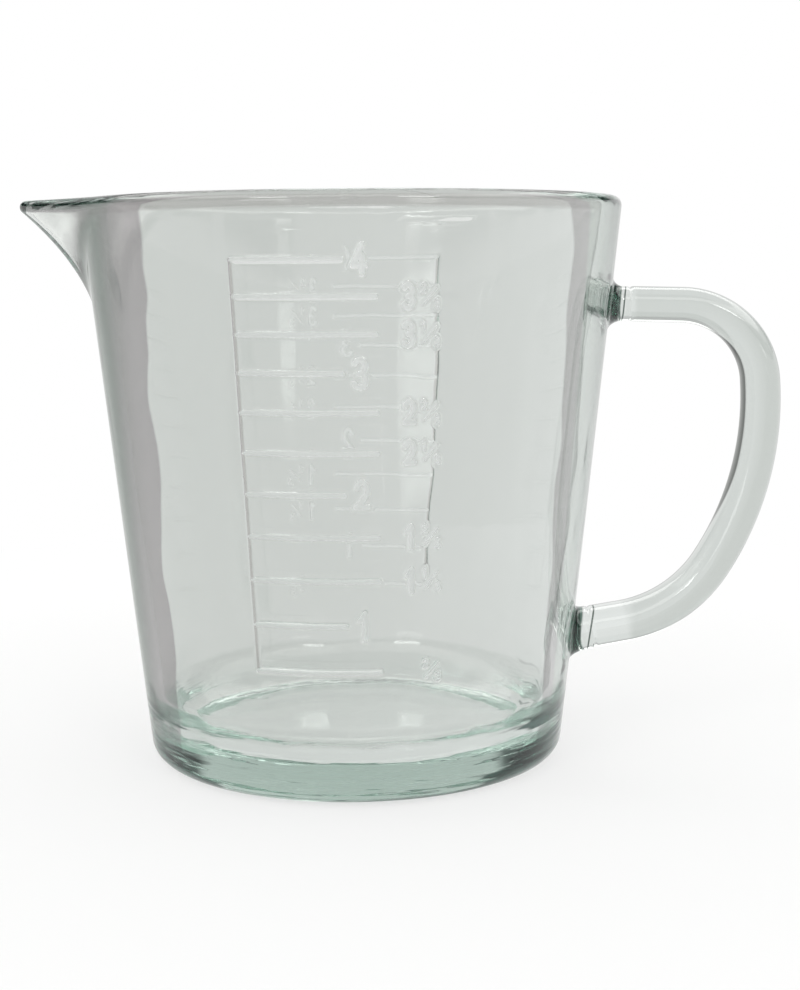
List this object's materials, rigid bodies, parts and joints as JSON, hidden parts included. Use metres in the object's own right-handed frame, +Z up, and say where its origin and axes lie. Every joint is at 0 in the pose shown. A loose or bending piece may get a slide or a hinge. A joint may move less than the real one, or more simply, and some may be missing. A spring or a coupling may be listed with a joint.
{
  "type": "measuring jug",
  "caption": "Pressed glass measuring jug: tapered bowl on a thick base, pulled pouring spout, D-shaped handle and raised measuring scales on front and rear.",
  "frame": {"origin": "centre of the underside, on the surface that the jug stands on", "axes": "+Z up along the bowl's axis; +X from the bowl's axis towards the handle, with the pouring spout on -X; the front scale is read from -Y"},
  "size_m": [0.1816, 0.1274, 0.1335],
  "materials": {
    "bowl_glass": "clear pressed soda-lime glass with a faint green tint, fire-polished",
    "base_glass": "the same glass seen through its thick base, green in depth",
    "handle_glass": "solid pressed glass, fire-polished",
    "scale_glass": "raised marks of the same glass with soft edges"
  },
  "bodies": {
    "root": {"base": "base_glass", "wall": "bowl_glass", "pouring_spout": "bowl_glass", "rim": "bowl_glass", "handle": "handle_glass", "upper_handle_root": "handle_glass", "lower_handle_root": "handle_glass", "front_scale_upright": "scale_glass", "front_scale_lines": "scale_glass", "front_numerals": "scale_glass", "rear_scale_upright": "scale_glass", "rear_scale_lines": "scale_glass", "rear_numerals": "scale_glass"}
  },
  "joints": []
}
